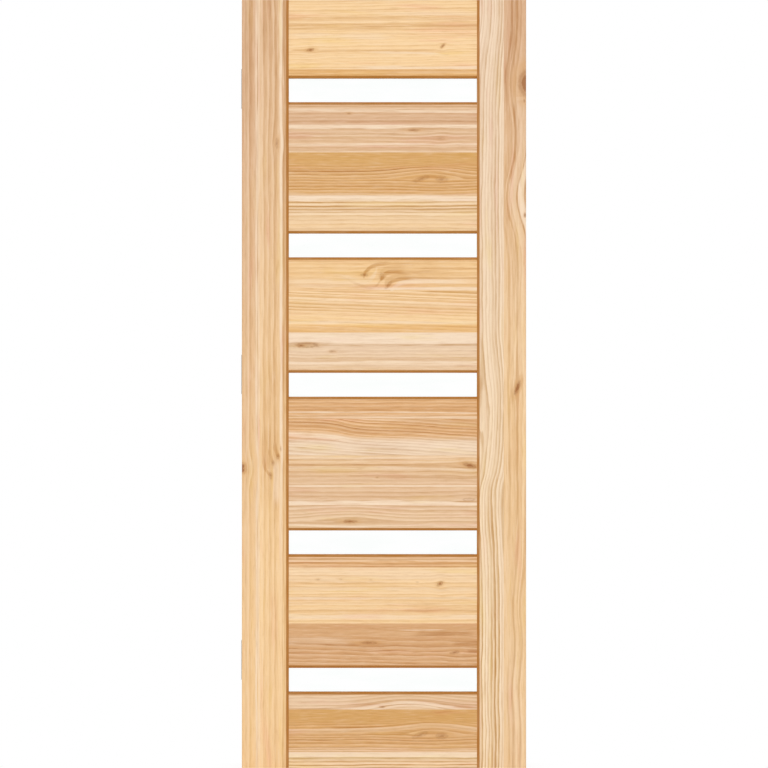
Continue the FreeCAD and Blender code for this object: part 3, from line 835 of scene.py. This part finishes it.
# %% Dress the fourth rail
board("rail_4_board_1", 10.0, (BROWN_ROSE, BROWN_ROSE), (0.8, 0.7), 10.0, (0, -300),
      cream=[streak(0, 926, 4, 0.85), streak(0, 915, 9, 0.35), streak(120, 913, 5, 0.6, 500)],
      resin=[streak(0, 959, 5, 0.5), streak(0, 953, 6, 0.3), streak(0, 942, 4, 0.4),
             streak(0, 932, 5, 0.6), streak(0, 920, 4, 0.2)])
board("rail_4_board_2", 11.0, (BROWN_ROSE, PINK), (0.9, 0.7), 8.0, (0, -260), lean=-4.0,
      turn=(0.42, 0.66),
      knots=[knot(-105, 887, 55, 4, 0, 115, dark=0.0, sway=-12)],
      cream=[streak(-190, 864, 10, 0.8, 260, -0.06), streak(-180, 836, 26, 0.65, 300, -0.05),
             streak(190, 838, 26, 0.5, 300), streak(0, 820, 12, 0.45)],
      resin=[streak(-180, 890, 26, 0.3, 420, -0.06), streak(170, 893, 50, 0.33, 400)])
board("rail_4_board_3", 12.0, (GOLDEN_ROSE, ROSE), (0.6, 0.4), 11.0, (0, -300),
      knots=[knot(223, 788, 16, 6, 7, 40, tilt=-0.25, core=1.3), knot(-18, 757, 4, 2, dark=0.5)],
      cream=[streak(0, 781, 7, 0.5), streak(0, 798, 4, 0.3), streak(0, 806, 7, 0.4)],
      resin=[streak(-60, 788, 6, 0.45), streak(-120, 803, 5, 0.3, 420), streak(120, 757, 5, 0.35, 300)])
board("rail_4_board_4", 13.0, (ROSE, ROSE), (0.6, 0.6), 11.0, (0, -300),
      knots=[knot(220, 699, 16, 4, dark=0.7, core=0.3)],
      cream=[streak(0, 736, 9, 0.7), streak(0, 690, 14, 1.0)])
board("rail_4_board_5", 14.0, (PALE_ROSE, PALE_ROSE), (0.7, 0.7), 10.0, (0, -200), wander=5.0,
      knots=[knot(-89, 642, 18, 4, 14, 110, 0.4)],
      cream=[streak(0, 686, 4, 0.9), streak(0, 632, 5, 0.7)], resin=[streak(0, 677, 7, 0.2)])

# %% [markdown]
# ## The fifth rail
# A bright plain board, dotted with small knots, lies between a narrow brown one and a wide darker one
# with close lines. The wide board is plain at the top, so its lines fade in further down.

# %% Dress the fifth rail
board("rail_5_board_1", 15.0, (BROWN_ROSE, BROWN_ROSE), (0.7, 0.7), 11.0, (0, -300),
      resin=[streak(0, 543, 5, 0.55), streak(0, 533, 6, 0.65), streak(0, 525, 7, 0.35)])
board("rail_5_board_2", 16.0, (BRIGHT_HONEY, BRIGHT_HONEY), (0.4, 0.4), 9.0, (0, -400),
      knots=[knot(-172, 491, 5, 2, dark=0.4), knot(-112, 491, 4, 2, dark=0.25),
             knot(-35, 490, 4, 2, dark=0.25), knot(87, 484, 4, 2, dark=0.25),
             knot(146, 480, 7, 5, tilt=0.3)],
      cream=[streak(-20, 395, 12, 0.6, 700), streak(0, 443, 6, 0.55), streak(0, 467, 9, 0.35),
             streak(0, 507, 40, 0.4)],
      resin=[streak(-140, 483, 12, 0.2, 320), streak(0, 420, 50, 0.08), streak(170, 418, 24, 0.28, 260)])
board("rail_5_board_3", 17.0, (BROWN, BROWN), (0.15, 0.68), 9.5, (42, 74), wander=8.0, lean=-1.0,
      fade=(0.2, 0.45),
      knots=[knot(-40, 326, 20, 4, dark=0.8), knot(184, 301, 12, 4, dark=0.8, tilt=0.2)],
      cream=[streak(100, 360, 3, 0.8, 120), streak(-190, 332, 18, 0.3, 200)],
      resin=[streak(0, 364, 40, 0.12), streak(155, 350, 13, 0.65, 160), streak(225, 324, 14, 0.6, 90),
             streak(236, 304, 9, 0.6, 40)])

# %% [markdown]
# ## The bottom rail
# An arch of pale rings rises along the top board, over a knot that the cut just missed. The two boards
# below look as if they were cut from the same planks as the lower ones of the second rail, so their
# recipes are alike.

# %% Dress the bottom rail
board("rail_6_board_1", 18.0, (PALE_ROSE, PALE_ROSE), (0.6, 0.6), 9.0, (0, -200),
      knots=[knot(66, 135, 30, 3, 27, 102, dark=0.0), knot(-4, 159, 8, 3, 2, dark=0.6)],
      cream=[streak(60, 150, 11, 0.85, 420), streak(50, 141, 7, 0.7, 300),
             streak(-190, 172, 30, 0.35, 260)],
      resin=[streak(0, 190, 5, 0.4), streak(60, 157, 5, 0.55, 420), streak(50, 145, 4, 0.6, 300)])
board("rail_6_board_2", 19.0, (OLD_AMBER, DEEP_AMBER), (0.05, 0.75), 7.2, (42, 160), wander=5.0,
      turn=(0.2, 0.4), fade=(0.2, 0.45),
      knots=[knot(95, 87, 20, 6, 13, 85, 0.3, 0.55, 0.3), knot(150, 84, 16, 8, 12, 75, 0.3, 0.55)],
      cream=[streak(0, 76, 50, 0.1), streak(0, 49, 13, 0.35)],
      resin=[streak(0, 106, 5, 0.4, 300)])
board("rail_6_board_3", 20.0, (CREAMY, STRAW), (0.4, 1.45), 7.0, (42, -62), turn=(0.35, 0.6),
      fade=(0.2, 0.4), cream=[streak(0, 37, 15, 1.0)])

# %% [markdown]
# ## The stiles
# Each stile is two long boards side by side. Three of them are darker and rosier at the top and turn
# paler and more golden towards the bottom, and the fourth is pale all the way. Their lines run the
# whole height and bend round a few knots, most of them at an edge, where the saw cut through. Where
# only the bend is left on the board, the knot has no darkness.

# %% Dress the stiles
board("hinge_stile_outer_board", 21.0, (DUSK_ROSE, HONEY), (0.6, 0.4), 14.0, (0, -300), bevelled=False,
      knots=[knot(-369, 781, 14, 12, dark=0.5), knot(-368, 786, 6, 6, 0, 20, core=3.0),
             knot(-368, 776, 6, 6, 0, 20, core=3.0)],
      cream=[streak(-331, 1000, 6, 0.7)], resin=[streak(-352, 1900, 26, 0.3, 500)])
board("hinge_stile_inner_board", 22.0, (ROSE, BRIGHT_HONEY), (0.65, 0.35), 17.0, (0, -300), wander=7.0,
      turn=(0.0, 0.75),
      knots=[knot(-279, 1626, 14, 4, dark=0.6), knot(-276, 811, 7, 4, 2, 30, dark=0.7),
             knot(-289, 794, 6, 4, 2, 30, dark=0.6), knot(-295, 762, 8, 4, 2, 30, dark=0.7),
             knot(-269, 832, 6, 2, 0, 20, dark=0.5)],
      cream=[streak(-268, 1500, 7, 0.9, 1900), streak(-326, 1000, 5, 0.6),
             streak(-281, 745, 16, 0.5, 120)],
      resin=[streak(-305, 1960, 30, 0.3, 260), streak(-263, 1100, 3, 0.4),
             streak(-296, 870, 70, 0.22, 420), streak(-295, 560, 12, 0.12, 600),
             sweep(-275, 811, 10, 0.7, 80, 10, 15), sweep(-275, 811, 4, 0.7, 170, 10, 15),
             sweep(-288, 795, 10, 0.7, 90, 10, 15), sweep(-288, 795, 4, 0.7, 180, 10, 15),
             sweep(-295, 762, 11, 0.75, 110, 21, 20), sweep(-295, 762, 5, 0.7, 260, 21, 20),
             sweep(-297, 780, 34, 0.4, 260, 8, 20), sweep(-276, 808, 4, 0.4, 90, -14, 25, -1.0),
             sweep(-288, 792, 4, 0.4, 90, -14, 25, -1.0)])
board("lock_stile_inner_board", 23.0, (PINK, PALE_PEACH), (0.7, 1.2), 8.5, (0, 300), wander=8.0,
      fade=(0.4, 0.9),
      knots=[knot(215, 2010, 30, 10, 36, 160, dark=0.0), knot(255, 958, 40, 12, 22, 120, dark=0.0),
             knot(277, 753, 60, 12, 0, 170, dark=0.0, sway=-18)],
      cream=[streak(310, 1100, 5, 0.6)], resin=[streak(246, 1600, 5, 0.3, 600)])
board("lock_stile_outer_board", 24.0, (DUSK_ROSE, PALE_HONEY), (0.45, 0.45), 21.0, (0, 200), wander=13.0,
      turn=(0.0, 0.5), bevelled=False,
      knots=[knot(372, 1783, 33, 21, 28, 92, dark=0.95, core=2.0, ragged=0.45),
             knot(365, 1737, 4, 2, 0, 10, dark=0.9), knot(386, 1487, 30, 12, 40, 88, dark=0.0),
             knot(367, 1440, 6, 3, 0, 10), knot(347, 990, 18, 6, tilt=-0.35, core=1.8),
             knot(388, 427, 30, 10, 16, 75, dark=0.0), knot(388, 206, 30, 10, 16, 70, dark=0.0)],
      cream=[streak(362, 1743, 16, 0.6, 12), streak(382, 1487, 15, 0.9, 400),
             streak(362, 1600, 26, 0.3, 500), streak(345, 1170, 36, 0.2, 420),
             streak(345, 120, 40, 0.25, 500)],
      resin=[streak(347, 1500, 6, 0.7, 2200), streak(333, 1930, 6, 0.6, 360),
             streak(326, 1000, 6, 0.4, 900), streak(375, 1487, 4, 0.8, 500),
             streak(389, 1487, 7, 0.7, 300), streak(361, 330, 6, 0.45, 900, -0.02),
             streak(342, 330, 6, 0.5, 900, -0.02), streak(326, 130, 5, 0.4, 300),
             streak(368, 600, 5, 0.5, 260)])

# %% [markdown]
# ## A faint speckle
# Glass, rubber, beech and metal are far plainer than the boards, but none of them is one flat colour.
# One small group makes a soft speckle, which can be drawn out into streaks, and one function turns it
# into a material: it mixes two close colours and two degrees of roughness.

# %% Build the speckle group
SPECKLE_DETAIL = 3.0
SPECKLE_FROM, SPECKLE_TO = 0.3, 0.7

sheet, given, gives = new_group(
    "speckle",
    {"Position": "Vector", "Along": "Float", "Across": "Float", "Seed": "Float"},
    {"Mask": "Float"},
)
stretch = sheet.add("ShaderNodeCombineXYZ", {
    "X": sheet.math("DIVIDE", 1.0, given["Along"]),
    "Y": sheet.math("DIVIDE", 1.0, given["Across"]),
    "Z": sheet.math("DIVIDE", 1.0, given["Across"]),
})[0]
stretched = sheet.vector("MULTIPLY", given["Position"], stretch)
cloud = {"Vector": stretched, "W": given["Seed"], "Scale": 1.0, "Detail": SPECKLE_DETAIL}
cloud = sheet.add("ShaderNodeTexNoise", cloud, noise_dimensions="4D")[0]
sheet.fill(gives, {"Mask": sheet.ramp(cloud, SPECKLE_FROM, SPECKLE_TO)})


def speckled(name, seed, along, across, colours, rough, **constants):
    material, sheet, shader = new_material(name)
    in_mm = {"Vector": sheet.add("ShaderNodeTexCoord")["Object"], "Scale": (MM, MM, MM)}
    position = sheet.add("ShaderNodeMapping", in_mm)[0]
    sizes = {"Position": position, "Along": along, "Across": across, "Seed": seed}
    mask = place_group(sheet, "speckle", sizes)["Mask"]
    sheet.fill(shader, {
        "Base Color": sheet.blend(mask, *colours),
        "Roughness": sheet.ramp(mask, 0.0, 1.0, *rough),
    })
    sheet.fill(shader, {key.replace("_", " "): value for key, value in constants.items()})
    return material


print("speckle:", len(sheet.tree.nodes), "nodes")

# %% [markdown]
# ## Glass, seals and dowels
# The strips are clear float glass, so they show the white behind them. A faint trace of wiping in the
# roughness keeps the panes from looking like nothing at all. The seals are tan rubber, and the dowels
# are plain beech, which only shows when the leaf is taken apart.

# %% Dress the glass, the seals and the dowels
CLEAR = ((0.97, 0.99, 0.98, 1), WHITE)
TAN = ((0.42, 0.25, 0.12, 1), (0.50, 0.31, 0.16, 1))
BEECH = ((0.66, 0.46, 0.28, 1), (0.52, 0.33, 0.18, 1))

glass = speckled("clear_glass", 31.0, 140.0, 30.0, CLEAR, (0.0, 0.012), Transmission_Weight=1.0, IOR=1.5)
rubber = speckled("tan_rubber", 32.0, 3.0, 3.0, TAN, (0.6, 0.75))
beech = speckled("plain_beech", 33.0, 30.0, 0.8, BEECH, (0.5, 0.65))
for name in nodes:
    if name.startswith("glass_strip"):
        dress(name, glass)
    if name.startswith("glass_seal"):
        dress(name, rubber)
dress("dowels", beech)
print("glass, seals and dowels dressed")

# %% [markdown]
# ## Hinges
# Butt hinges are pressed from steel and brushed, their pins are turned, the washers are brass and the
# screws are zinc plated. Long fine streaks in the roughness are what makes brushed metal look brushed.

# %% Dress the hinges
STEEL = ((0.56, 0.56, 0.55, 1), (0.48, 0.48, 0.47, 1))
BRIGHT_STEEL = ((0.62, 0.62, 0.62, 1), (0.52, 0.52, 0.52, 1))
BRASS = ((0.72, 0.52, 0.24, 1), (0.60, 0.40, 0.16, 1))
ZINC = ((0.60, 0.61, 0.62, 1), (0.50, 0.51, 0.52, 1))

brushed = speckled("brushed_steel", 34.0, 0.4, 40.0, STEEL, (0.26, 0.42), Metallic=1.0)
turned = speckled("turned_steel", 35.0, 20.0, 0.5, BRIGHT_STEEL, (0.2, 0.34), Metallic=1.0)
brass = speckled("brass", 36.0, 4.0, 4.0, BRASS, (0.25, 0.4), Metallic=1.0)
zinc = speckled("zinc_plate", 37.0, 1.5, 1.5, ZINC, (0.3, 0.45), Metallic=1.0)
FINISHES = {
    "frame_leaf": brushed, "door_leaf": brushed, "pin": turned, "washers": brass, "screws": zinc,
}
for name in nodes:
    for ending, finish in FINISHES.items():
        if "_hinge_" in name and name.endswith(ending):
            dress(name, finish)
print("hinges dressed")
